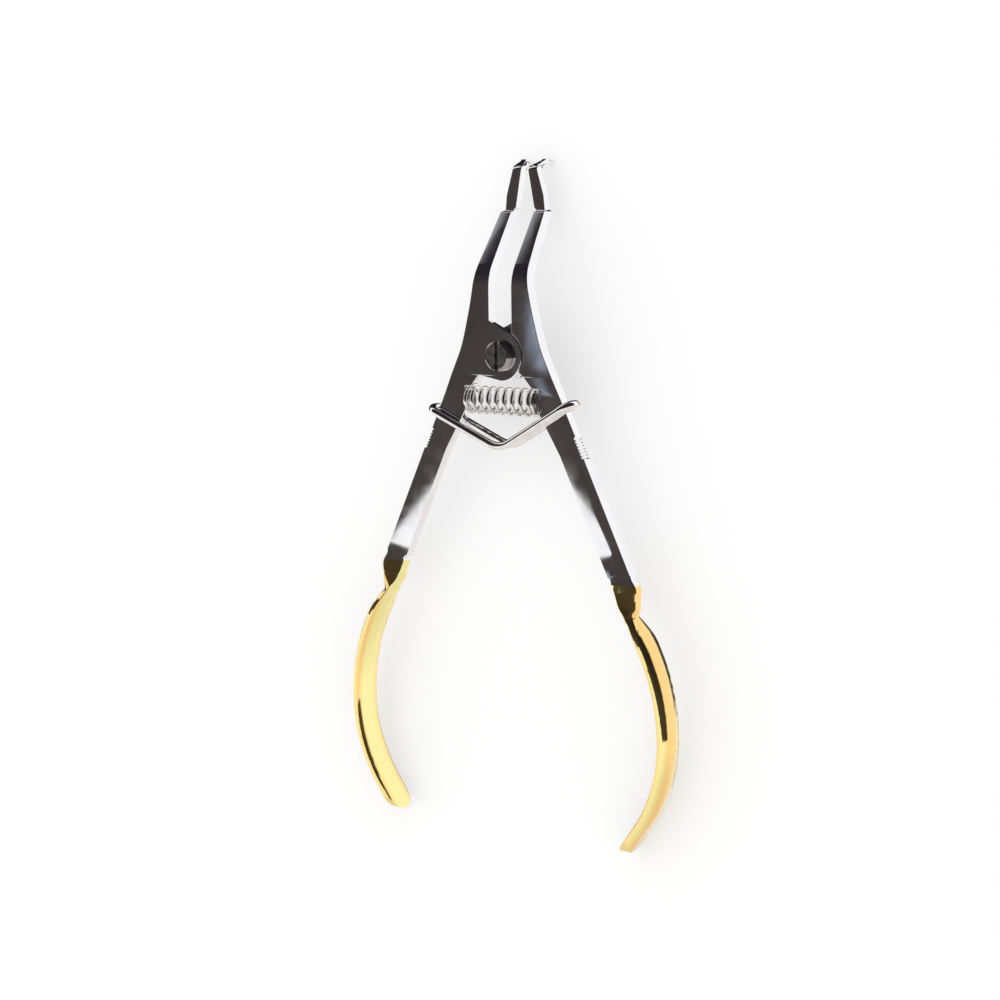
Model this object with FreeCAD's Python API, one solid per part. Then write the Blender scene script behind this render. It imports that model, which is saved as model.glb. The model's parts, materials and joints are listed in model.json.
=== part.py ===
"""Rubber dam clamp forceps: two flat arms on one pivot, a spring between them and a lock ring.

Millimetres. The arms are drawn standing, round the pivot: +X to the right arm, +Z to the tips
and +Y to the back, where the beaks lean. The forceps can't stand by itself, so at the end it is
laid on its back, as on a table: it rests at z = 0 on the ends of its nibs and the ends of its
grips, +Y runs to the beaks, +Z to the front, and the middle of the whole box is at x = y = 0.
"""
import FreeCAD, Part
import math
import os

V = FreeCAD.Vector
AXIS_X = V(1, 0, 0)
AXIS_Y = V(0, 1, 0)
AXIS_Z = V(0, 0, 1)
ORIGIN = V(0, 0, 0)

# Whole tool
pivot_height = 120.5        # from the ends of the grips up to the pivot axis

# Pivot joint
disc_radius = 6.3           # lap disc that each arm turns on
head_thickness = 3.3        # arms round the pivot, both laps together
lap_gap = 0.1               # between the two laps
pocket_gap = 0.2            # between a disc and the pocket round it
web_top = 8.6               # where the lap leaves the beak, above the pivot
web_corner_x = 6.75         # lower corner of the lap
web_corner_z = -5.05

# Pivot screw
screw_radius = 2.2
screw_clearance = 0.05      # running fit in the left arm
head_clearance = 0.1        # under the screw's head
screw_head_radius = 3.75
screw_head_height = 1.8
screw_head_chamfer = 0.55
slot_width = 0.9
slot_depth = 0.8
screw_tail = 0.25           # rounded end past the right arm's lap

# Outline of an arm, as distances from the middle plane of the tool
beak_gap = 6.8              # between the two beaks
shoulder_height = 35.0      # top of the flat blade
blade_top_x = 6.6
blade_mid_x = 7.35
blade_mid_z = 25.7
blade_root_x = 9.0
blade_root_z = 13.6
head_top_x = 10.35
head_top_z = 8.0
head_half_width = 12.9      # at the pivot
shank_angle = 25.25         # outer edge from the vertical
shank_width = 6.15
shank_thickness = 2.8
taper_top = -5.0            # the head thins to the shank below this
taper_bottom = -10.0

# Beak seen from the side
bend_start = 16.5           # the blade leans back above this
bend_angle = 33.5
bend_radius = 11.0          # of the front face
finger_front = 9.6          # front face of the finger behind the middle plane
finger_thickness = 2.3
finger_step = 0.3           # height of the step at the shoulder
finger_length = 11.0        # from the step to the finger's top
finger_knuckle = 1.1        # rounded top of the finger
finger_inner_low = 2.75     # inner edge just above the shoulder
finger_inner_top = 1.05
finger_outer_low = 5.95
finger_outer_mid = 5.6
finger_mid_rise = 3.7       # above the step
finger_outer_top = 3.75

# Tip that enters the clamp
tip_length = 4.0            # from the finger to the hump
tip_spread = 12.0           # turned outwards, degrees
tip_rise = 23.0             # turned upwards, degrees
tip_root_width = 2.5
tip_root_depth = 1.5
tip_width = 1.34
tip_depth = 1.2
nib_radius = 0.5
nib_length = 2.1
nib_droop = 10.0            # below the level, degrees

# Return spring and its two seat studs
seat_x = 11.1               # flat that a stud seats on
seat_top = -10.1
seat_bottom = -13.9
neck_drop = 10.0            # from the seat down to the straight inner edge
seat_room = 0.25            # round the spring's end turn
spring_height = -11.3       # spring axis
spring_radius = 3.05        # to the middle of the wire
spring_wire = 0.45          # wire radius
active_turns = 8
end_turns = 1
closed_pitch = 0.92
spring_end_gap = 0.05
stud_button_gap = 0.2       # inside the coils
stud_button_length = 2.0
stud_tail_radius = 0.9
stud_tail_length = 2.6

# Notches that hold the lock ring
tooth_top = -18.9
tooth_pitch = 0.82
tooth_count = 7
tooth_depth = 0.7

# Rib that runs out on the back of the grip
rib_x = 38.9
rib_top_drop = 55.0         # below the pivot, where the rib's edge turns upright
rib_end_drop = 62.3
shank_end = -50.0           # outer edge, where the flare starts
strip_start_drop = 59.5     # inner edge, where the curve of the grip starts
flare_last_angle = 27.0     # on the grip's upper arc, where it has its full width

# Grip
grip_half_span = 48.3       # widest point of a grip
grip_mid_drop = 91.5        # widest point below the pivot
grip_upper_radius = 50.0
grip_lower_radius = 39.0
grip_lower_angle = 35.2
grip_thickness = 1.75
grip_width = 8.2
grip_crown = 0.45
grip_edge = 0.5
shank_edge = 0.3

# Lock ring
ring_wire = 1.0             # wire radius
ring_side_gap = 0.2         # between a leg and the shank's face
ring_end_gap = 0.3          # between the ring's ends and the arms' edges
ring_height = -13.65        # where the ring's ends meet the arms
ring_leg_angle = 26.6
ring_bottom_radius = 7.0
ring_tilt = 3.7             # the loose ring hangs a little askew


finger_shoulder = shoulder_height + finger_step
finger_top = finger_shoulder + finger_length


def polar(radius, degrees, center=(0.0, 0.0)):
    """A plan point on a circle."""
    a = math.radians(degrees)
    return (center[0] + radius * math.cos(a), center[1] + radius * math.sin(a))


def plan(x, z, y=0.0):
    return V(x, y, z)


def line(a, b):
    return Part.LineSegment(a, b).toShape()


def arc(a, middle, b):
    return Part.Arc(a, middle, b).toShape()


def polyline(points):
    return [line(a, b) for a, b in zip(points, points[1:])]


def rounded(corners, radius, crown=0.0):
    """A closed wire round the corners; the side after the second corner may bulge by crown."""
    middle = sum(corners, V(0, 0, 0)) * (1.0 / len(corners))
    starts, tops, ends = [], [], []
    for before, corner, after in zip(corners[-1:] + corners[:-1], corners, corners[1:] + corners[:1]):
        back = (before - corner).normalize()
        on = (after - corner).normalize()
        half = back.getAngle(on) / 2
        run = radius / math.tan(half)
        inward = (back + on).normalize()
        starts.append(corner + back * run)
        ends.append(corner + on * run)
        tops.append(corner + inward * (radius / math.sin(half) - radius))
    edges = []
    for i in range(len(corners)):
        a, b = ends[i], starts[(i + 1) % len(corners)]
        edges.append(arc(starts[i], tops[i], ends[i]))
        if i == 1 and crown > 0:
            mid = (a + b) * 0.5
            edges.append(arc(a, mid + (mid - middle).normalize() * crown, b))
        else:
            edges.append(line(a, b))
    return Part.Wire(edges)


def outer_line(z):
    """Outer edge of the straight shank."""
    return head_half_width - z * math.tan(math.radians(shank_angle))


def inner_line(z):
    """Inner edge of the straight shank."""
    return outer_line(z) - shank_width / math.cos(math.radians(shank_angle))


def tooth_points():
    """Outer edge of the shank down its notches: crest, root, crest and so on."""
    a = math.radians(shank_angle)
    down = (math.sin(a), -math.cos(a))
    into = (-math.cos(a), -math.sin(a))
    points = []
    for k in range(tooth_count):
        crest = (outer_line(tooth_top) + down[0] * k * tooth_pitch, tooth_top + down[1] * k * tooth_pitch)
        root = tuple(c + n * tooth_depth + d * tooth_pitch / 2 for c, n, d in zip(crest, into, down))
        points += [crest, root]
    last = tuple(c + d * tooth_count * tooth_pitch for c, d in zip((outer_line(tooth_top), tooth_top), down))
    return points + [last]


def shank_section_ends():
    """Outer and inner plan points of the square cut where the flare takes over."""
    a = math.radians(shank_angle)
    outer = (outer_line(shank_end), shank_end)
    inner = (outer[0] - shank_width * math.cos(a), outer[1] - shank_width * math.sin(a))
    return outer, inner


def arm_outline():
    """Plan outline of the flat arm from the finger's top to the end of the shank."""
    beak_x = beak_gap / 2
    outer_end, inner_end = shank_section_ends()
    # The lap's top edge touches the disc on its far side
    lean = math.degrees(math.atan2(web_top, beak_x))
    touch = lean + math.degrees(math.acos(disc_radius / math.hypot(beak_x, web_top)))
    touch_point = polar(disc_radius, touch)
    bottom = (0.0, -disc_radius)
    neck_z = seat_bottom - neck_drop
    inner = [
        (finger_inner_top, finger_top + finger_knuckle),
        (finger_inner_top, finger_top - finger_knuckle),
        (finger_inner_low, finger_shoulder + 0.6),
        (beak_x, finger_shoulder),
        (beak_x, web_top),
        touch_point,
    ]
    lower = [
        bottom,
        (web_corner_x, web_corner_z),
        (seat_x, seat_top),
        (seat_x, seat_bottom),
        (inner_line(neck_z), neck_z),
        inner_end,
        outer_end,
    ]
    edge_run = [outer_end] + tooth_points()[::-1] + [(head_half_width, 0.0)]
    blade = [
        (head_half_width, 0.0),
        (head_top_x, head_top_z),
        (blade_root_x, blade_root_z),
        (blade_mid_x, blade_mid_z),
        (blade_top_x, shoulder_height),
    ]
    finger = [
        (blade_top_x, shoulder_height),
        (finger_outer_low, finger_shoulder + 0.1),
        (finger_outer_mid, finger_shoulder + finger_mid_rise),
        (finger_outer_top, finger_top - finger_knuckle),
        (finger_outer_top, finger_top + finger_knuckle),
        (finger_inner_top, finger_top + finger_knuckle),
    ]
    curve = Part.BSplineCurve()
    a = math.radians(shank_angle)
    curve.interpolate(Points=[plan(*p) for p in blade], InitialTangent=V(-math.sin(a), 0, math.cos(a)),
                      FinalTangent=V(-0.07, 0, 1))
    edges = polyline([plan(*p) for p in inner])
    edges.append(arc(plan(*touch_point), plan(*polar(disc_radius, (touch + 270) / 2)), plan(*bottom)))
    edges += polyline([plan(*p) for p in lower])
    edges += polyline([plan(*p) for p in edge_run])
    edges.append(curve.toShape())
    edges += polyline([plan(*p) for p in finger])
    return Part.Face(Part.Wire(edges))


def side_outline():
    """The arm seen from the side: even thickness, the blade leaning back, the finger upright."""
    a = math.radians(bend_angle)
    half = head_thickness / 2
    thin = shank_thickness / 2
    # Both faces of the bend turn about one centre behind the blade
    center = (bend_radius - half, bend_start)
    inner_radius = bend_radius - head_thickness

    def on_bend(radius, angle):
        return (center[0] - radius * math.cos(angle), center[1] + radius * math.sin(angle))

    front_bend = on_bend(bend_radius, a)
    back_bend = on_bend(inner_radius, a)
    blade_end = (front_bend[0] + (shoulder_height - front_bend[1]) * math.tan(a), shoulder_height)
    finger_back = finger_front + finger_thickness
    back_corner = (finger_back, back_bend[1] + (finger_back - back_bend[0]) / math.tan(a))
    top = finger_top

    def side(p):
        return V(0, p[0], p[1])

    low = shank_end - 2 * shank_width
    front = [(-thin, low), (-thin, taper_bottom), (-half, taper_top), (-half, bend_start)]
    edges = polyline([side(p) for p in front])
    edges.append(arc(side((-half, bend_start)), side(on_bend(bend_radius, a / 2)), side(front_bend)))
    step = [front_bend, blade_end, (finger_front, finger_shoulder), (finger_front, top - finger_knuckle)]
    edges += polyline([side(p) for p in step])
    knuckle = (finger_front + finger_knuckle * (1 - math.sqrt(0.5)), top - finger_knuckle * (1 - math.sqrt(0.5)))
    edges.append(arc(side(step[-1]), side(knuckle), side((finger_front + finger_knuckle, top))))
    down = [(finger_front + finger_knuckle, top), (finger_back, top), back_corner, back_bend]
    edges += polyline([side(p) for p in down])
    edges.append(arc(side(back_bend), side(on_bend(inner_radius, a / 2)), side((half, bend_start))))
    back = [(half, bend_start), (half, taper_top), (thin, taper_bottom), (thin, low), (-thin, low)]
    edges += polyline([side(p) for p in back])
    return Part.Face(Part.Wire(edges))


def flat_arm():
    """Finger, blade, head and shank of the right arm, before its lap is cut."""
    deep = 2 * (finger_front + finger_thickness)
    wide = 2 * rib_x
    front_view = arm_outline().translated(V(0, -deep, 0)).extrude(V(0, 2 * deep, 0))
    side_view = side_outline().translated(V(-wide, 0, 0)).extrude(V(2 * wide, 0, 0))
    return front_view.common(side_view)


def lap_cutter():
    """What the right arm gives up to the left arm's disc, in the front half of the head."""
    pocket_radius = disc_radius + pocket_gap
    beak_x = beak_gap / 2
    corner = (web_corner_x, web_corner_z)
    corner_angle = math.degrees(math.atan2(web_corner_z, web_corner_x))
    meet = polar(pocket_radius, corner_angle)
    far = 2 * disc_radius
    points = [(-far, web_top + pocket_gap), (beak_x, web_top + pocket_gap), (beak_x, 0.0), meet, corner,
              (web_corner_x, -far), (-far, -far), (-far, web_top + pocket_gap)]
    depth = head_thickness / 2 + lap_gap / 2
    start = -head_thickness / 2
    low = Part.Face(Part.makePolygon([plan(x, z, start - 1) for x, z in points])).extrude(V(0, depth + 1, 0))
    pocket = Part.makeCylinder(pocket_radius, depth + 1, V(0, start - 1, 0), AXIS_Y)
    return low.fuse(pocket)


def strip_point(radius_inset, degrees):
    """Plan point of the grip strip, at an angle on its upper (+) or lower (-) arc."""
    radius = grip_upper_radius if degrees >= 0 else grip_lower_radius
    center = (grip_half_span - grip_crown - radius, -grip_mid_drop)
    return polar(radius - radius_inset, degrees, center)


def cross_section(outer, inner, outer_half, inner_half, edge, crown=0.0):
    corners = [plan(*inner, -inner_half), plan(*outer, -outer_half), plan(*outer, outer_half), plan(*inner, inner_half)]
    return rounded(corners, edge, crown)


def smooth(fraction):
    """Eases from 0 to 1."""
    f = min(max(fraction, 0.0), 1.0)
    return f * f * (3 - 2 * f)


def on_path(points, fraction):
    """Plan point part of the way along a run of points."""
    lengths = [math.dist(a, b) for a, b in zip(points, points[1:])]
    left = fraction * sum(lengths)
    for a, b, length in zip(points, points[1:], lengths):
        if left <= length:
            return tuple(p + (q - p) * left / length for p, q in zip(a, b))
        left -= length
    return points[-1]


def strip_angle(drop, inset):
    """Angle on the grip's upper arc at a drop below the pivot."""
    return math.degrees(math.asin((grip_mid_drop - drop) / (grip_upper_radius - inset)))


def strip_run(inset, first, last):
    steps = 12
    return [strip_point(inset, first + (last - first) * k / steps) for k in range(steps + 1)]


def flare_lofts():
    """From the shank to the full width of the grip; the rib on its back ends at a corner."""
    thin = shank_thickness / 2
    wide = grip_width / 2
    outer, inner = shank_section_ends()
    rib_turn = (rib_x, -rib_top_drop)
    rib_end = strip_point(0, strip_angle(rib_end_drop, 0))
    inner_start = strip_angle(strip_start_drop, grip_thickness)
    rib_side = [outer, rib_turn, rib_end]
    strip_side = strip_run(0, strip_angle(rib_end_drop, 0), flare_last_angle)
    inner_side = [inner] + strip_run(grip_thickness, inner_start, flare_last_angle)
    rib_share = sum(math.dist(a, b) for a, b in zip(rib_side, rib_side[1:]))
    strip_share = sum(math.dist(a, b) for a, b in zip(strip_side, strip_side[1:]))
    corner = rib_share / (rib_share + strip_share)

    def station(f):
        if f <= corner:
            out = on_path(rib_side, f / corner)
        else:
            out = on_path(strip_side, (f - corner) / (1 - corner))
        inner_half = thin + (wide - thin) * smooth((f - 0.08) / 0.87)
        outer_half = thin + (wide - thin) * smooth((f - corner + 0.12) / (1.07 - corner))
        edge = shank_edge + (grip_edge - shank_edge) * f
        return cross_section(out, on_path(inner_side, f), outer_half, inner_half, edge, 0.01 + grip_crown * smooth(f))

    upper = [station(corner * k / 7) for k in range(8)]
    lower = [station(corner + (1 - corner) * k / 5) for k in range(6)]
    return [Part.makeLoft(upper, True, False), Part.makeLoft(lower, True, False)]


def grip_sections():
    """Stations down the grip strip, ending in a straight run."""
    wide = grip_width / 2
    angles = [flare_last_angle * (1 - k / 4) for k in range(5)] + [-grip_lower_angle * k / 4 for k in range(1, 5)]
    places = [(strip_point(0, a), strip_point(grip_thickness, a)) for a in angles]
    outer, inner = places[-1]
    a = math.radians(grip_lower_angle)
    run = (pivot_height + outer[1]) / math.cos(a) + grip_thickness
    step = (-math.sin(a) * run, -math.cos(a) * run)
    end = tuple((p[0] + step[0], p[1] + step[1]) for p in (outer, inner))
    crown = 0.01 + grip_crown
    sections = [cross_section(o, i, wide, wide, grip_edge, crown) for o, i in places]
    tail = [cross_section(o, i, wide, wide, grip_edge, crown) for o, i in (places[-1], end)]
    return sections, tail


def round_end(grip):
    """The grip ends full-round on the floor line."""
    wide = grip_width / 2
    far = 2 * grip_half_span
    top = V(0, -wide - 1, 0)
    floor = -pivot_height
    profile = [V(0, wide + 1, floor + wide), V(0, wide + 1, 0), top, V(0, -wide - 1, floor + wide),
               V(0, -wide, floor + wide)]
    edges = polyline(profile)
    edges.append(arc(profile[-1], V(0, 0, floor), V(0, wide, floor + wide)))
    edges.append(line(V(0, wide, floor + wide), profile[0]))
    keep = Part.Face(Part.Wire(edges)).extrude(V(far, 0, 0))
    return grip.common(keep)


def lower_arm():
    sections, tail = grip_sections()
    grip = Part.makeLoft(sections, True, False)
    end = round_end(Part.makeLoft(tail, True, True))
    return flare_lofts() + [grip, end]


def box_section(center, along, across, width, depth, edge):
    """Rounded rectangle square to a direction."""
    up = across.cross(along).normalize()
    w = across * (width / 2)
    d = up * (depth / 2)
    return rounded([center - w - d, center + w - d, center + w + d, center - w + d], edge)


def seat_cutter():
    """Spot face that the spring's end turn and its stud sit in, and the blind hole of the stud."""
    room = spring_radius + spring_wire + seat_room
    face = Part.makeCylinder(room, seat_x, V(0, 0, spring_height), AXIS_X)
    hole = Part.makeCylinder(stud_tail_radius, stud_tail_length, V(seat_x, 0, spring_height), AXIS_X)
    return face.fuse(hole)


def tip():
    """The bent tip of the right finger and its nib, and where the nib ends."""
    spread = math.radians(tip_spread)
    rise = math.radians(tip_rise)
    droop = math.radians(nib_droop)
    across = V(math.cos(spread), -math.sin(spread), 0)
    along = V(math.sin(spread) * math.cos(rise), math.cos(spread) * math.cos(rise), math.sin(rise))
    nib_way = V(math.sin(spread) * math.cos(droop), math.cos(spread) * math.cos(droop), -math.sin(droop))
    root_x = (finger_inner_top + finger_outer_top) / 2
    root = V(root_x, finger_front + finger_knuckle * 0.8, finger_top - tip_root_depth * 0.42)
    hump = root + along * tip_length
    edge = nib_radius * 0.7
    bar = Part.makeLoft([
        box_section(root, along, across, tip_root_width, tip_root_depth, edge),
        box_section(hump, along, across, tip_width, tip_depth, edge),
    ], True, True)
    knuckle_radius = tip_depth * 0.56
    knuckle = Part.makeCylinder(knuckle_radius, tip_width, hump - across * (tip_width / 2), across)
    nib = Part.makeCylinder(nib_radius, nib_length + nib_radius, hump, nib_way)
    end = hump + nib_way * (nib_length + nib_radius)
    nib = nib.makeFillet(nib_radius * 0.7, [min(nib.Edges, key=lambda e: (e.CenterOfMass - end).Length)])
    return [bar, knuckle, nib], end, nib_way


def blank(own_lap_cutter):
    """An arm drawn as the right one: the flat forging less its lap cut, and all that grows from it."""
    lap_face = Part.makeCylinder(disc_radius + 2 * pocket_gap, lap_gap, V(0, -lap_gap / 2, 0), AXIS_Y)
    body = flat_arm().cut([own_lap_cutter, lap_face, seat_cutter()])
    return body.fuse(lower_arm() + tip()[0])


def drill(arm, radius):
    bore = Part.makeCylinder(radius, 2 * head_thickness, V(0, -head_thickness, 0), AXIS_Y)
    return arm.cut(bore).removeSplitter()


def right_arm():
    """Its lap lies behind."""
    return drill(blank(lap_cutter()), screw_radius)


def left_arm():
    """The mirror image, with its lap in front."""
    arm = blank(lap_cutter().mirror(ORIGIN, AXIS_Y))
    return drill(arm.mirror(ORIGIN, AXIS_X), screw_radius + screw_clearance)


def pivot_screw():
    """Slotted screw: its head bears on the left arm, its shank holds in the right arm's lap."""
    face = -head_thickness / 2 - head_clearance
    top = face - screw_head_height
    head = Part.makeCylinder(screw_head_radius, screw_head_height, V(0, top, 0), AXIS_Y)
    head = head.makeChamfer(screw_head_chamfer, [min(head.Edges, key=lambda e: e.CenterOfMass.y)])
    shank_length = head_thickness + head_clearance
    shank = Part.makeCylinder(screw_radius, shank_length, V(0, face, 0), AXIS_Y)
    end = Part.makeCone(screw_radius, screw_radius - screw_tail, screw_tail, V(0, head_thickness / 2, 0), AXIS_Y)
    slot = Part.makeBox(slot_width, slot_depth + 1, 4 * screw_head_radius,
                        V(-slot_width / 2, top - 1, -2 * screw_head_radius))
    return head.fuse([shank, end]).cut(slot).removeSplitter()


def seat_stud():
    """Turned stud: its tail sits in the right arm's edge, its button centres the spring."""
    button_radius = spring_radius - spring_wire - stud_button_gap
    button = Part.makeCylinder(button_radius, stud_button_length, V(seat_x - stud_button_length, 0, spring_height),
                               AXIS_X)
    button = button.makeChamfer(0.4, [min(button.Edges, key=lambda e: e.CenterOfMass.x)])
    tail = Part.makeCylinder(stud_tail_radius, stud_tail_length, V(seat_x, 0, spring_height), AXIS_X)
    return button.fuse(tail).removeSplitter()


def coil(pitch, turns, start):
    """Round wire along a helix about +Z."""
    path = Part.Wire(Part.makeHelix(pitch, pitch * turns, spring_radius))
    profile = Part.Wire(Part.makeCircle(spring_wire, V(spring_radius, 0, 0), AXIS_Y))
    return path.makePipeShell([profile], True, True).translated(V(0, 0, start))


def return_spring():
    """Compression spring with a closed turn at each end, across the arms below the pivot."""
    half = seat_x - spring_end_gap - spring_wire
    closed = closed_pitch * end_turns
    open_length = 2 * (half - closed)
    parts = [
        coil(closed_pitch, end_turns, -half),
        coil(open_length / active_turns, active_turns, -half + closed),
        coil(closed_pitch, end_turns, half - closed),
    ]
    spring = parts[0].fuse(parts[1:])
    spring.rotate(ORIGIN, AXIS_Y, 90)
    return spring.translated(V(0, 0, spring_height))


def wire_run(start, way, radius, moves):
    """Round wire through straights (a length) and bends (centre, axis, degrees)."""
    face = Part.Face(Part.Wire(Part.makeCircle(radius, start, way)))
    pieces = []
    for move in moves:
        if isinstance(move, tuple):
            center, axis, degrees = move
            pieces.append(face.revolve(center, axis, degrees))
            face = face.copy()
            face.rotate(center, axis, degrees)
            way = FreeCAD.Rotation(axis, degrees).multVec(way)
        else:
            pieces.append(face.extrude(way * move))
            face = face.translated(way * move)
    return pieces[0].fuse(pieces[1:])


def lock_ring():
    """Closed loop of round wire: a V leg before and behind the shanks, bent round their edges."""
    a = math.radians(ring_leg_angle)
    leg_y = shank_thickness / 2 + ring_side_gap + ring_wire
    # Middle of an end bend: the wire clears the shank's edge and its two corners
    corner_room = math.sqrt((leg_y - ring_wire) ** 2 - (shank_thickness / 2) ** 2)
    end = V(outer_line(ring_height) + ring_end_gap - corner_room, 0, 0)
    along = V(math.cos(a), 0, math.sin(a))
    turn_x = ring_bottom_radius * math.sin(a)
    leg = (end.x - turn_x) / math.cos(a)
    low = end - along * leg
    center = V(0, 0, low.z + ring_bottom_radius * math.cos(a))
    start = V(0, -leg_y, center.z - ring_bottom_radius)
    half = wire_run(start, AXIS_X, ring_wire, [
        (center, -AXIS_Y, ring_leg_angle),
        leg,
        (end, along.cross(AXIS_Y), 180.0),
        leg,
        (center, AXIS_Y, ring_leg_angle),
    ])
    ring = half.fuse(half.mirror(ORIGIN, AXIS_X)).removeSplitter()
    ring.rotate(ORIGIN, AXIS_Y, -ring_tilt)
    # The low end meets the arm where it is wider, so the ring slips to that side
    slip = end.x * math.sin(math.radians(ring_tilt)) * math.tan(math.radians(shank_angle))
    return ring.translated(V(-slip, 0, ring_height))


def nodes():
    return {
        "left_arm": left_arm(),
        "right_arm": right_arm(),
        "pivot_screw": pivot_screw(),
        "return_spring": return_spring(),
        "left_spring_stud": seat_stud().mirror(ORIGIN, AXIS_X),
        "right_spring_stud": seat_stud(),
        "lock_ring": lock_ring(),
    }


def resting_lean(arm):
    """Degrees between the table and the middle plane of the tool that lies on its nibs and grips."""
    points = arm.tessellate(0.02)[0]
    lean = 0.0
    for _ in range(5):
        way = polar(1.0, -lean)
        head = max((p for p in points if p.z > 0), key=lambda p: p.y * way[0] + p.z * way[1])
        grip = max((p for p in points if p.z < 0), key=lambda p: p.y * way[0] + p.z * way[1])
        lean = math.degrees(math.atan2(head.y - grip.y, head.z - grip.z))
    return lean


def main():
    os.makedirs("parts", exist_ok=True)
    shapes = nodes()
    turn = resting_lean(shapes["left_arm"]) - 90
    laid = {name: shape.rotated(ORIGIN, AXIS_X, turn) for name, shape in shapes.items()}
    boxes = [laid[arm].optimalBoundingBox(True, False) for arm in ("left_arm", "right_arm")]
    middle = (min(b.YMin for b in boxes) + max(b.YMax for b in boxes)) / 2
    shift = V(0, -middle, -min(b.ZMin for b in boxes))
    for name, shape in laid.items():
        placed = shape.translated(shift)
        placed.exportStep("parts/%s.step" % name)
        box = placed.optimalBoundingBox(True, False)
        print("%-18s solids %d valid %s volume %.1f  x %.2f..%.2f y %.2f..%.2f z %.2f..%.2f" % (
            name, len(placed.Solids), placed.isValid(), placed.Volume,
            box.XMin, box.XMax, box.YMin, box.YMax, box.ZMin, box.ZMax))
    turned = FreeCAD.Rotation(AXIS_X, turn)
    nib, way = tip()[1:]
    print("turn", turn, "pivot", shift, "nib end", turned.multVec(nib) + shift, "nib way", turned.multVec(way))

main()
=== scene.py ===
"""Looks of the rubber dam clamp forceps: polished steel, gold plated grips, lying on a white table."""

import json
import math
import bmesh
import bpy
from mathutils import Matrix, Vector

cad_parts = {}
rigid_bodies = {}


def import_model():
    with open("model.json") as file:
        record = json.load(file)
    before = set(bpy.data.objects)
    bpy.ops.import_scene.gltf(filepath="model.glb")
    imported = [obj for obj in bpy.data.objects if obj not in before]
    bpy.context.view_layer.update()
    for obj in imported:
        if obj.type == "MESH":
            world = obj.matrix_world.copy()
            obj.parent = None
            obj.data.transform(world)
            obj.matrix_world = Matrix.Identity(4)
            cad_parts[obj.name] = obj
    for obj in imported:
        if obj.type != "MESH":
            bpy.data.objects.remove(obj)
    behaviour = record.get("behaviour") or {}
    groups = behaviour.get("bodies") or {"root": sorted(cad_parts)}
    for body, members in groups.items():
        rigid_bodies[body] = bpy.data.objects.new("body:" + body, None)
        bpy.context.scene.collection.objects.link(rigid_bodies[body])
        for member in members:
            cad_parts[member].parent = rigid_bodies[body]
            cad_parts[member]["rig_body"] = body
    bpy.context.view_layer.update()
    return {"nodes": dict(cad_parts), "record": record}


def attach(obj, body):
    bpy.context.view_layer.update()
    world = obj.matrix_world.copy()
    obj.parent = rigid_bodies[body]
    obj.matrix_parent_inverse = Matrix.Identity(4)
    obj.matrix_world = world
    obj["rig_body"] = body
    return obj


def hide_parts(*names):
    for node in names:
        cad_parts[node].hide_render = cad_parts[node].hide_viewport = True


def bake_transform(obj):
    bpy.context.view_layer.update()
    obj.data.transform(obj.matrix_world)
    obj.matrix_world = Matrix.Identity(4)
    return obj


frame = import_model()

# Driving dimensions, in metres and degrees. Heights and drops are seen from the pivot.
MM = 0.001
HINGE = next(j for j in frame["record"]["behaviour"]["joints"] if j["name"] == "arm_hinge")
PIVOT = Vector(HINGE["pos_m"])
RIGHT = Vector((1.0, 0.0, 0.0))         # to the right arm
BACK = Vector(HINGE["axis"])            # along the pivot, from the front to the back
UP = RIGHT.cross(BACK)                  # from the grips to the beaks

# An arm's edges
EDGE_ROUND = 0.18 * MM
EDGE_SEGMENTS = 2
EDGE_PROFILE = 0.5                      # a round one
EDGE_ANGLE = 28.0                       # edges sharper than this are rounded,
EDGE_CREASE = 42.0                      # and those that stay this sharp are shaded as creases
EDGE_LOWEST = -48.0 * MM                # below this, the solids have their own round edges,
EDGE_BACKMOST = 12.2 * MM               # and so do the tips behind this
FLAT_LOWEST = -53.0 * MM                # above this, an arm has flat faces
FLAT_ANGLE = 0.3                        # faces that turn less than this against each other are one
JOIN_DISTANCE = 0.001 * MM              # points closer than this are one

# The flare, which must not stand out past the line of the shank's outer edge between two drops
EDGE_AT_PIVOT = 12.9 * MM               # that line, level with the pivot
LEDGE_TOP = 50.05 * MM
LEDGE_BOTTOM = 53.0 * MM

# Shading: by an arm's large faces, but as the solid's curves between two heights of the grip
FACE_WEIGHT = 90                        # 50 weighs faces by their areas, more favours large ones
CURVES_TOP = -57.0 * MM
CURVES_BOTTOM = -84.0 * MM
CURVES_FADE = 5.0 * MM

# Shanks: where their middle lines run, and their hand-polished crown
SHANK_ANGLE = 25.25
SHANK_MIDDLE = 9.5 * MM                 # from the middle, level with the pivot
CROWN_RADIUS = 160.0 * MM
CROWN_TOP = -9.0 * MM
CROWN_FADE = 8.0 * MM
FACET_START = 0.6 * MM                  # outside this, the right shank is polished to a slope
FACET_SLOPE = 0.032
FACET_BLEND = 0.6 * MM
SIDE_BLEND = 1.0 * MM                   # to each side, where one arm's polish turns into the other's

# Polish that starts each shank's turn into the grip, and that hides where the head thins
FLARE_RIGHT_TOP = -46.3 * MM
FLARE_LEFT_TOP = -49.3 * MM
FLARE_DEPTH = 8.0 * MM
FLARE_SLOPE = 0.05
TAPER_TOP = -5.0 * MM
TAPER_DEPTH = 5.0 * MM
TAPER_SLOPE = 0.05

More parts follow.
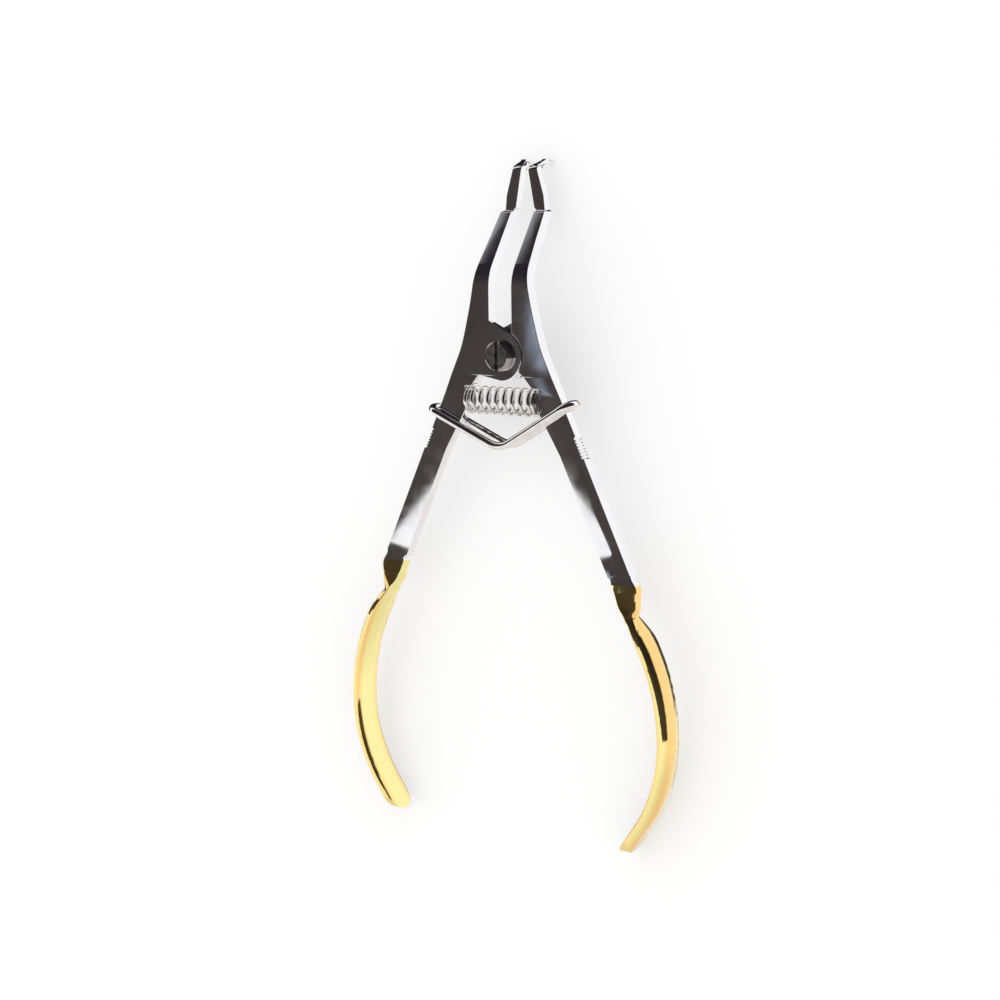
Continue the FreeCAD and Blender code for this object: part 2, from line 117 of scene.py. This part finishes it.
# Grips and their plating, with reflections painted into the gold
PLATING_TOP = -54.2 * MM
PLATING_BLEND = 0.25 * MM
GRIP_HALF_WIDTH = 4.1 * MM
GRIP_CROWN_RADIUS = 17.0 * MM
GRIP_CROWN_TOP = -60.0 * MM
GRIP_CROWN_FADE = 8.0 * MM
PAINTED_RIM_START = 0.45                        # the painted reflection in the gold changes between these shares of the half width
PAINTED_RIM_END = 0.98
PAINTED_SIDE_FACING = 0.3                       # a face that looks this far to a side gets that side's painted reflection in the gold
# gold tones that paint the grips' reflections: the pale one a painted highlight, the warm one painted
# shade
PALE_GOLD_PAINTED_HIGHLIGHT = (1.0, 0.90, 0.39, 1)
WARM_GOLD_PAINTED_SHADE = (1.0, 0.69, 0.26, 1)

# Metals: two shades, two roughnesses, and the scales of the clouds that mix each two
STEEL_SHADES = ((0.95, 0.95, 0.96, 1), (0.88, 0.88, 0.90, 1))
SCREW_SHADES = ((0.42, 0.39, 0.37, 1), (0.30, 0.28, 0.28, 1))
SPRING_SHADES = ((0.90, 0.89, 0.88, 1), (0.74, 0.72, 0.70, 1))
RING_SHADES = ((0.93, 0.92, 0.91, 1), (0.82, 0.80, 0.78, 1))
STUD_SHADES = ((0.88, 0.87, 0.86, 1), (0.76, 0.75, 0.74, 1))
STEEL_GLOSS = (0.035, 0.07)
GOLD_GLOSS = (0.05, 0.10)
SCREW_GLOSS = (0.12, 0.22)
SPRING_GLOSS = (0.08, 0.16)
RING_GLOSS = (0.05, 0.10)
STUD_GLOSS = (0.08, 0.14)
STEEL_CLOUDS = (90.0, 260.0)
SCREW_CLOUDS = (500.0, 900.0)
WIRE_CLOUDS = (400.0, 700.0)
GOLD_CLOUDS = 200.0                     # its roughness alone, since its colour is a painted reflection that follows its faces
CLOUD_DETAIL = 4.0
NOISE_RANGE = (0.3, 0.7)                # most of a noise lies between these
NOISE_MIDDLE = 0.5

# Turned rings on the screw's head
TURNING_PITCH = 0.16 * MM
TURNING_DEPTH = 0.0006 * MM

# The camera, fitted to the photograph, seen from the pivot
CAM_AZIMUTH = 35.905
CAM_ELEVATION = 8.292
CAM_ROLL = -0.780
CAM_DISTANCE = 529.84 * MM
CAM_RIGHT = -1.52 * MM
CAM_UP = -35.653 * MM
CAM_LENS = 77.30
CAM_SENSOR = 36.0
CAM_NEAR = 0.01
CAM_FAR = 20.0

# The table, part paint and part glow, so that it is white and still keeps a soft shadow
TABLE_SIZE = 8.0
TABLE_PAINT = (0.60, 0.60, 0.60, 1)
TABLE_GLOW = 0.41
WHITE = (1, 1, 1, 1)

# What the metal mirrors, told by directions: a level is the upward part of one, a pair spans a change
FRONT_WAY = (0.45, -0.89, 0.0)          # the middle of the open front, in the tool's axes
FRONT_SIDES = (-0.06, 0.06)             # along that way, from the closed part to the open one
FRONT_LEVEL = -0.183                    # in front, the dark room is seen above this
FRONT_SLOPE = 0.056                     # and lower towards the right by this
FRONT_BLUR = 0.004
BACK_LEVEL = -0.17                      # and behind the backdrop on the left, above this
BACK_BLUR = 0.02
BACK_SIDES = (0.15, -0.05)              # from the right, where it stays white, to the left
BACK_START = (-0.1, 0.1)                # from the front to the back
LOW_DARK = (0.060, 0.050, 0.046, 1)
HIGH_DARK = (0.017, 0.014, 0.020, 1)
DARK_LEVELS = (-0.15, 0.6)              # from the low dark to the high one
ROOM_CLOUDS = 26.0
ROOM_DETAIL = 3.0
ROOM_DRIFT = 1.3                        # how much its clouds mix the two
TABLE_TONE = (0.83, 0.79, 0.76, 1)      # of the table's near part, which the tool shades
TONE_LEVELS = (-0.25, -0.7)             # from the white far part to the near one
WINDOW_WAY = (-0.5635, -0.070)          # to a far window: the right and the upward part
WINDOW_SIZE = (0.0045, 0.016)           # the same parts of its half width and half height
WINDOW_EDGE = (4.0, 0.0)                # in squares of its size, from outside to its middle
WINDOW_COLOR = (0.36, 0.41, 0.52, 1)


def tool_place(right, back, up):
    """A point or a way in the tool's own axes, given in the row's axes."""
    return RIGHT * right + BACK * back + UP * up


def make_camera():
    azimuth = math.radians(CAM_AZIMUTH)
    elevation = math.radians(CAM_ELEVATION)
    roll = math.radians(CAM_ROLL)
    level = math.cos(elevation)
    behind = tool_place(math.sin(azimuth) * level, -math.cos(azimuth) * level, math.sin(elevation))
    right = tool_place(math.cos(azimuth), math.sin(azimuth), 0.0)
    up = behind.cross(right)
    place = PIVOT + behind * CAM_DISTANCE + right * CAM_RIGHT + up * CAM_UP
    turned_right = right * math.cos(roll) + up * math.sin(roll)
    turned_up = up * math.cos(roll) - right * math.sin(roll)
    turn = Matrix((turned_right, turned_up, behind)).transposed()
    data = bpy.data.cameras.new("camera")
    data.lens = CAM_LENS
    data.sensor_width = CAM_SENSOR
    data.clip_start = CAM_NEAR
    data.clip_end = CAM_FAR
    camera = bpy.data.objects.new("camera", data)
    bpy.context.scene.collection.objects.link(camera)
    camera.matrix_world = Matrix.Translation(place) @ turn.to_4x4()
    bpy.context.scene.camera = camera


class Nodes:
    """Short way to write the nodes of a material or world."""

    def __init__(self, owner):
        owner.use_nodes = True
        self.tree = owner.node_tree
        self.tree.nodes.clear()

    def add(self, kind, inputs=None, **values):
        node = self.tree.nodes.new(kind)
        for name, value in values.items():
            setattr(node, name, value)
        for name, value in (inputs or {}).items():
            if isinstance(value, bpy.types.NodeSocket):
                self.tree.links.new(value, node.inputs[name])
            else:
                node.inputs[name].default_value = value
        return node

    def math(self, operation, a, b=0.0, clamp=False):
        node = self.add("ShaderNodeMath", {0: a, 1: b}, operation=operation, use_clamp=clamp)
        return node.outputs[0]

    def square(self, value):
        return self.math("MULTIPLY", value, value)

    def dot(self, vector, way):
        node = self.add("ShaderNodeVectorMath", {0: vector, 1: tuple(way)}, operation="DOT_PRODUCT")
        return node.outputs["Value"]

    def mix(self, share, a, b):
        """Colour a where share is 0, b where it is 1."""
        return self.add("ShaderNodeMix", {0: share, 6: a, 7: b}, data_type="RGBA").outputs[2]

    def ramp(self, value, start, end):
        """0 at start, 1 at end, smooth between."""
        node = self.add("ShaderNodeMapRange", {"Value": value, "From Min": start, "From Max": end})
        node.interpolation_type = "SMOOTHSTEP"
        return node.outputs[0]

    def noise(self, vector, scale, detail):
        inputs = {"Vector": vector, "Scale": scale, "Detail": detail}
        return self.add("ShaderNodeTexNoise", inputs).outputs["Fac"]

    def bump(self, height):
        inputs = {"Strength": 1.0, "Distance": 1.0, "Height": height}
        return self.add("ShaderNodeBump", inputs).outputs[0]


def tool_coordinates(n):
    """Sockets of a point's place on the tool: to the right, to the back and up from the pivot."""
    place = n.add("ShaderNodeTexCoord").outputs["Object"]
    seen = n.add("ShaderNodeVectorMath", {0: place, 1: tuple(PIVOT)}, operation="SUBTRACT").outputs[0]
    return [n.dot(seen, way) for way in (RIGHT, BACK, UP)]


def on_right_arm(n, right):
    """1 on the right arm, 0 on the left one."""
    return n.ramp(right, -SIDE_BLEND, SIDE_BLEND)


def shank_relief(n, right, up):
    """Height of the crown that polishing leaves across each shank, and of the right one's outer slope."""
    side = n.math("ABSOLUTE", right)
    run = n.math("MULTIPLY", up, -math.tan(math.radians(SHANK_ANGLE)))
    off = n.math("SUBTRACT", n.math("SUBTRACT", side, run), SHANK_MIDDLE)
    across = n.math("MULTIPLY", off, math.cos(math.radians(SHANK_ANGLE)))
    crown = n.math("DIVIDE", n.square(across), -2 * CROWN_RADIUS)
    limits = {0: across, 1: FACET_START, 2: FACET_BLEND}
    outside = n.add("ShaderNodeMath", limits, operation="SMOOTH_MAX").outputs[0]
    facet = n.math("MULTIPLY", n.math("SUBTRACT", outside, FACET_START), -FACET_SLOPE)
    facet = n.math("MULTIPLY", facet, on_right_arm(n, right))
    return n.math("MULTIPLY", n.math("ADD", crown, facet), n.ramp(up, CROWN_TOP, CROWN_TOP - CROWN_FADE))


def flare_relief(n, right, up):
    """Height that starts the flares a little above the solids' own."""
    higher = n.math("MULTIPLY", on_right_arm(n, right), FLARE_RIGHT_TOP - FLARE_LEFT_TOP)
    top = n.math("ADD", higher, FLARE_LEFT_TOP)
    below = n.math("DIVIDE", n.math("SUBTRACT", top, up), FLARE_DEPTH, clamp=True)
    return n.math("MULTIPLY", n.square(below), FLARE_DEPTH * FLARE_SLOPE)


def head_relief(n, up):
    """Height that fills the taper below the head."""
    below = n.math("DIVIDE", n.math("SUBTRACT", TAPER_TOP, up), TAPER_DEPTH, clamp=True)
    return n.math("MULTIPLY", below, TAPER_DEPTH * TAPER_SLOPE)


def grip_relief(n, back, up):
    """Height of the crown across a grip."""
    crown = n.math("DIVIDE", n.square(back), -2 * GRIP_CROWN_RADIUS)
    return n.math("MULTIPLY", crown, n.ramp(up, GRIP_CROWN_TOP, GRIP_CROWN_TOP - GRIP_CROWN_FADE))


def unevenness(n, scale, low, high):
    """A value that drifts between low and high over the surface."""
    noise = n.noise(n.add("ShaderNodeTexCoord").outputs["Object"], scale, CLOUD_DETAIL)
    return n.math("ADD", n.math("MULTIPLY", n.ramp(noise, *NOISE_RANGE), high - low), low)


def metal(n, color, roughness, normal=None):
    inputs = {"Base Color": color, "Metallic": 1.0, "Roughness": roughness}
    if normal is not None:
        inputs["Normal"] = normal
    return n.add("ShaderNodeBsdfPrincipled", inputs).outputs[0]


def cloudy_metal(n, shades, gloss, clouds, normal=None):
    """Metal that drifts between two shades and between two roughnesses."""
    color = n.mix(unevenness(n, clouds[0], 0.0, 1.0), *shades)
    return metal(n, color, unevenness(n, clouds[1], *gloss), normal)


def gold_with_painted_reflections(n, right, back):
    """Gold with painted reflections: pale along the middle of the strip's inner face and along the edges
    of its outer face, warm elsewhere.
    """
    # which way a face looks picks its painted highlight or painted shade
    facing = n.dot(n.add("ShaderNodeTexCoord").outputs["Normal"], RIGHT)
    outward = n.math("MULTIPLY", facing, n.math("SIGN", right))
    rim = n.ramp(n.math("ABSOLUTE", back), PAINTED_RIM_START * GRIP_HALF_WIDTH, PAINTED_RIM_END * GRIP_HALF_WIDTH)
    inner = n.mix(rim, PALE_GOLD_PAINTED_HIGHLIGHT, WARM_GOLD_PAINTED_SHADE)
    outer = n.mix(rim, WARM_GOLD_PAINTED_SHADE, PALE_GOLD_PAINTED_HIGHLIGHT)
    return n.mix(n.ramp(outward, -PAINTED_SIDE_FACING, PAINTED_SIDE_FACING), inner, outer)


def arm_material():
    """Polished steel, gold plated below a line."""
    material = bpy.data.materials.new("polished_arm")
    n = Nodes(material)
    right, back, up = tool_coordinates(n)
    relief = shank_relief(n, right, up)
    for part in (flare_relief(n, right, up), head_relief(n, up), grip_relief(n, back, up)):
        relief = n.math("ADD", relief, part)
    normal = n.bump(relief)
    steel = cloudy_metal(n, STEEL_SHADES, STEEL_GLOSS, STEEL_CLOUDS, normal)
    # the gold's colour holds painted reflections
    gold = metal(n, gold_with_painted_reflections(n, right, back), unevenness(n, GOLD_CLOUDS, *GOLD_GLOSS), normal)
    plated = n.ramp(up, PLATING_TOP + PLATING_BLEND, PLATING_TOP)
    mixed = n.add("ShaderNodeMixShader", {0: plated, 1: steel, 2: gold})
    n.add("ShaderNodeOutputMaterial", {0: mixed.outputs[0]})
    return material


def wire_material(name, shades, gloss):
    """Drawn wire."""
    material = bpy.data.materials.new(name)
    n = Nodes(material)
    n.add("ShaderNodeOutputMaterial", {0: cloudy_metal(n, shades, gloss, WIRE_CLOUDS)})
    return material


def screw_material():
    """Turned dark steel, with fine rings about the pivot."""
    material = bpy.data.materials.new("turned_screw")
    n = Nodes(material)
    right, _, up = tool_coordinates(n)
    radius = n.math("SQRT", n.math("ADD", n.square(right), n.square(up)))
    turns = n.math("MULTIPLY", radius, 2 * math.pi / TURNING_PITCH)
    normal = n.bump(n.math("MULTIPLY", n.math("SINE", turns), TURNING_DEPTH))
    turned = cloudy_metal(n, SCREW_SHADES, SCREW_GLOSS, SCREW_CLOUDS, normal)
    n.add("ShaderNodeOutputMaterial", {0: turned})
    return material


def is_above(edge, lowest):
    """Whether an edge lies above a height on an arm, and in front of its tip."""
    places = [v.co - PIVOT for v in edge.verts]
    return all(place.dot(UP) > lowest and place.dot(BACK) < EDGE_BACKMOST for place in places)


def trim_ledge(bm):
    """Keeps the start of the flare within the line of the shank's outer edge."""
    for v in bm.verts:
        place = v.co - PIVOT
        drop = -place.dot(UP)
        side = place.dot(RIGHT)
        over = abs(side) - EDGE_AT_PIVOT - drop * math.tan(math.radians(SHANK_ANGLE))
        if LEDGE_TOP < drop < LEDGE_BOTTOM and over > 0:
            v.co -= RIGHT * math.copysign(over, side)


def round_edges(mesh, width):
    """Joins a CAD mesh's faces at their edges, makes each flat face one polygon and rounds sharp edges."""
    bm = bmesh.new()
    bm.from_mesh(mesh)
    bmesh.ops.remove_doubles(bm, verts=bm.verts, dist=JOIN_DISTANCE)
    trim_ledge(bm)
    flat = [e for e in bm.edges if is_above(e, FLAT_LOWEST)]
    ends = list(dict.fromkeys(v for e in flat for v in e.verts))
    bmesh.ops.dissolve_limit(bm, angle_limit=math.radians(FLAT_ANGLE), verts=ends, edges=flat)
    upper = [e for e in bm.edges if is_above(e, EDGE_LOWEST)]
    sharp = [e for e in upper if e.calc_face_angle(0.0) > math.radians(EDGE_ANGLE)]
    bmesh.ops.bevel(bm, geom=sharp, offset=width, offset_type="OFFSET", segments=EDGE_SEGMENTS,
                    profile=EDGE_PROFILE, affect="EDGES", clamp_overlap=False, miter_outer="ARC")
    for edge in bm.edges:
        edge.smooth = edge.calc_face_angle(0.0) < math.radians(EDGE_CREASE)
    bm.to_mesh(mesh)
    bm.free()


def even_shading(piece):
    """Lets an arm's large faces set the shading up to their rounded edges."""
    evened = piece.modifiers.new("even_shading", "WEIGHTED_NORMAL")
    evened.mode = "FACE_AREA"
    evened.weight = FACE_WEIGHT
    evened.keep_sharp = True


def keep_curves(piece, source):
    """Shades the upper part of a grip as the curved faces of its solid."""
    group = piece.vertex_groups.new(name="curved")
    for v in piece.data.vertices:
        up = (v.co - PIVOT).dot(UP)
        share = min(CURVES_TOP - up, up - CURVES_BOTTOM) / CURVES_FADE
        group.add([v.index], min(max(share, 0.0), 1.0), "REPLACE")
    shading = piece.modifiers.new("curved_shading", "DATA_TRANSFER")
    shading.object = source
    shading.use_loop_data = True
    shading.data_types_loops = {"CUSTOM_NORMAL"}
    shading.loop_mapping = "NEAREST_POLYNOR"
    shading.vertex_group = group.name


def dress(node, material, edge_round=0.0, rides=True):
    """A copy of a CAD node that stands for it, rounded and riding on the node's body where wanted."""
    source = frame["nodes"][node]
    mesh = source.data.copy()
    if edge_round:
        round_edges(mesh, edge_round)
    mesh.polygons.foreach_set("use_smooth", [True] * len(mesh.polygons))
    mesh.materials.clear()
    mesh.materials.append(material)
    piece = bpy.data.objects.new(node + "_polished", mesh)
    bpy.context.scene.collection.objects.link(piece)
    if edge_round:
        even_shading(piece)
        keep_curves(piece, source)
    if rides:
        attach(piece, source["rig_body"])
    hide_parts(node)
    return piece


def table_material():
    """White paint that also glows a little."""
    material = bpy.data.materials.new("white_table")
    n = Nodes(material)
    paint = n.add("ShaderNodeBsdfDiffuse", {"Color": TABLE_PAINT})
    glow = n.add("ShaderNodeEmission", {"Color": WHITE, "Strength": TABLE_GLOW})
    both = n.add("ShaderNodeAddShader", {0: paint.outputs[0], 1: glow.outputs[0]})
    n.add("ShaderNodeOutputMaterial", {0: both.outputs[0]})
    return material


def make_table():
    """The table under the tool, which isn't part of it. The metal mirrors the world's table instead."""
    half = TABLE_SIZE / 2
    corners = [(-half, -half, 0), (half, -half, 0), (half, half, 0), (-half, half, 0)]
    mesh = bpy.data.meshes.new("floor")
    mesh.from_pydata(corners, [], [(0, 1, 2, 3)])
    mesh.materials.append(table_material())
    sheet = bpy.data.objects.new("floor", mesh)
    bpy.context.scene.collection.objects.link(sheet)
    sheet.visible_glossy = False


def dark_share(n, right, back, up, open_front):
    """1 where the dark room is seen, 0 where the white table or backdrop hides it."""
    level = n.math("ADD", up, n.math("MULTIPLY", right, FRONT_SLOPE))
    over_table = n.ramp(level, FRONT_LEVEL - FRONT_BLUR, FRONT_LEVEL + FRONT_BLUR)
    front = n.math("MULTIPLY", over_table, open_front)
    over_backdrop = n.ramp(up, BACK_LEVEL - BACK_BLUR, BACK_LEVEL + BACK_BLUR)
    behind = n.math("MULTIPLY", over_backdrop, n.ramp(right, *BACK_SIDES))
    return n.math("MAXIMUM", front, n.math("MULTIPLY", behind, n.ramp(back, *BACK_START)))


def room_color(n, way, right, up, open_front):
    """The cloudy dark room, and the far window in its open front."""
    cloudy = n.noise(way, ROOM_CLOUDS, ROOM_DETAIL)
    drift = n.math("MULTIPLY", n.math("SUBTRACT", cloudy, NOISE_MIDDLE), ROOM_DRIFT)
    height = n.math("ADD", n.ramp(up, *DARK_LEVELS), drift, clamp=True)
    room = n.mix(height, LOW_DARK, HIGH_DARK)
    off_right = n.math("DIVIDE", n.math("SUBTRACT", right, WINDOW_WAY[0]), WINDOW_SIZE[0])
    off_up = n.math("DIVIDE", n.math("SUBTRACT", up, WINDOW_WAY[1]), WINDOW_SIZE[1])
    off = n.math("ADD", n.square(off_right), n.square(off_up))
    window = n.math("MULTIPLY", n.ramp(off, *WINDOW_EDGE), open_front)
    return n.mix(window, room, WINDOW_COLOR)


def make_world():
    """White all round, with a dark room beyond it that only polished metal mirrors."""
    world = bpy.data.worlds.new("studio")
    bpy.context.scene.world = world
    n = Nodes(world)
    way = n.add("ShaderNodeTexCoord").outputs["Generated"]
    right, back, up = [n.dot(way, axis) for axis in (RIGHT, BACK, UP)]
    open_front = n.ramp(n.dot(way, tool_place(*FRONT_WAY)), *FRONT_SIDES)
    dark = dark_share(n, right, back, up, open_front)
    room = room_color(n, way, right, up, open_front)
    table = n.mix(n.ramp(up, *TONE_LEVELS), WHITE, TABLE_TONE)
    mirrored = n.add("ShaderNodeLightPath").outputs["Is Glossy Ray"]
    color = n.mix(mirrored, WHITE, n.mix(dark, table, room))
    glow = n.add("ShaderNodeBackground", {0: color, 1: 1.0})
    n.add("ShaderNodeOutputWorld", {0: glow.outputs[0]})


make_camera()
make_world()
make_table()
arm_metal = arm_material()
screw_metal = screw_material()
spring_metal = wire_material("spring_wire", SPRING_SHADES, SPRING_GLOSS)
ring_metal = wire_material("ring_wire", RING_SHADES, RING_GLOSS)
stud_metal = wire_material("turned_stud", STUD_SHADES, STUD_GLOSS)
for node_name in ("left_arm", "right_arm"):
    dress(node_name, arm_metal, EDGE_ROUND)
for node_name in ("left_spring_stud", "right_spring_stud"):
    dress(node_name, stud_metal)
dress("pivot_screw", screw_metal)
dress("lock_ring", ring_metal)
spring = dress("return_spring", spring_metal, rides=False)
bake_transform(spring)

bpy.context.scene.view_settings.view_transform = "Standard"
